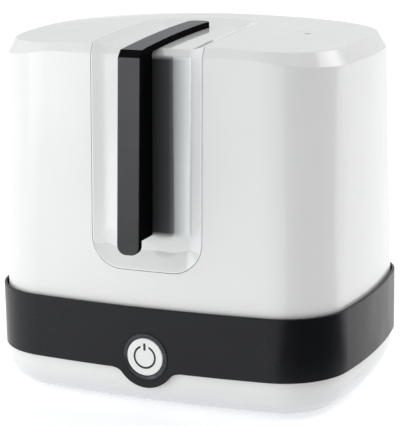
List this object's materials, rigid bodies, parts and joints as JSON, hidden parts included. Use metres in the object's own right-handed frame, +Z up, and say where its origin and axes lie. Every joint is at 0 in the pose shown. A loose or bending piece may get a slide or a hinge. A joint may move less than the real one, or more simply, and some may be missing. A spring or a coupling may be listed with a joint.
{
  "type": "electric steam steriliser for feeding bottles",
  "caption": "Electric steam steriliser for feeding bottles, with a lift-off hood, carry handle, dark base band, power button, bottle rack and tray.",
  "frame": {"origin": "middle of the whole steriliser's bounding box, handle included, at the level of the table that its feet stand on", "axes": "+Z up, -Y out of the front where the handle and the power button are, +X to the right seen from the front"},
  "size_m": [0.2968, 0.2426, 0.2842],
  "materials": {
    "white_plastic": "gloss",
    "dark_plastic": "satin",
    "handle_plastic": "satin",
    "panel_plastic": "gloss",
    "inner_plastic": "satin",
    "rack_plastic": "satin",
    "control_plastic": "matte",
    "symbol_plastic": "satin",
    "ring_plastic": "gloss",
    "lamp_plastic": "gloss",
    "board_laminate": "satin",
    "foot_rubber": "matte",
    "seal_rubber": "matte",
    "stainless_steel": "brushed",
    "element_steel": "satin",
    "bracket_steel": "satin",
    "spring_steel": "satin",
    "screw_steel": "satin"
  },
  "bodies": {
    "base": {"bottom_housing": "white_plastic", "foot_front_left": "foot_rubber", "foot_front_right": "foot_rubber", "foot_rear_left": "foot_rubber", "foot_rear_right": "foot_rubber", "housing_screws": "screw_steel", "base_collar": "dark_plastic", "water_deck": "inner_plastic", "plate_gasket": "seal_rubber", "heating_plate": "stainless_steel", "heating_element": "element_steel", "heater_clamp": "bracket_steel", "clamp_screws": "screw_steel", "thermostat": "control_plastic", "thermal_fuse": "control_plastic", "thermostat_bracket": "bracket_steel", "button_ring": "ring_plastic", "button_carrier": "inner_plastic", "button_spring": "spring_steel", "control_board": "board_laminate", "power_switch": "control_plastic", "status_lamps": "lamp_plastic", "board_screws": "screw_steel", "terminal_block": "control_plastic", "cord_gland": "seal_rubber"},
    "hood": {"hood_shell": "white_plastic", "recess_panel": "panel_plastic", "handle_grip": "handle_plastic", "handle_screws": "screw_steel", "handle_washers": "screw_steel"},
    "tray": {"accessory_tray": "rack_plastic"},
    "rack": {"bottle_rack": "rack_plastic", "rack_cups": "rack_plastic", "rack_stem": "rack_plastic"},
    "button": {"button_cap": "white_plastic", "power_symbol": "symbol_plastic"}
  },
  "joints": [
    {"name": "hood_lift", "type": "slide", "parent": "base", "child": "hood", "axis": [0, 0, 1], "range_m": [0, 0.42]},
    {"name": "tray_lift", "type": "slide", "parent": "base", "child": "tray", "axis": [0, 0, 1], "range_m": [0, 0.21]},
    {"name": "rack_lift", "type": "slide", "parent": "base", "child": "rack", "axis": [0, 0, 1], "range_m": [0, 0.105]},
    {"name": "button_press", "type": "slide", "parent": "base", "child": "button", "axis": [0, 1, 0], "range_m": [0, 0.0012], "stiffness_N_per_m": 900}
  ],
  "couplings": [
    {"joint": "tray_lift", "follows": "hood_lift", "ratio": 0.5},
    {"joint": "rack_lift", "follows": "hood_lift", "ratio": 0.25}
  ]
}
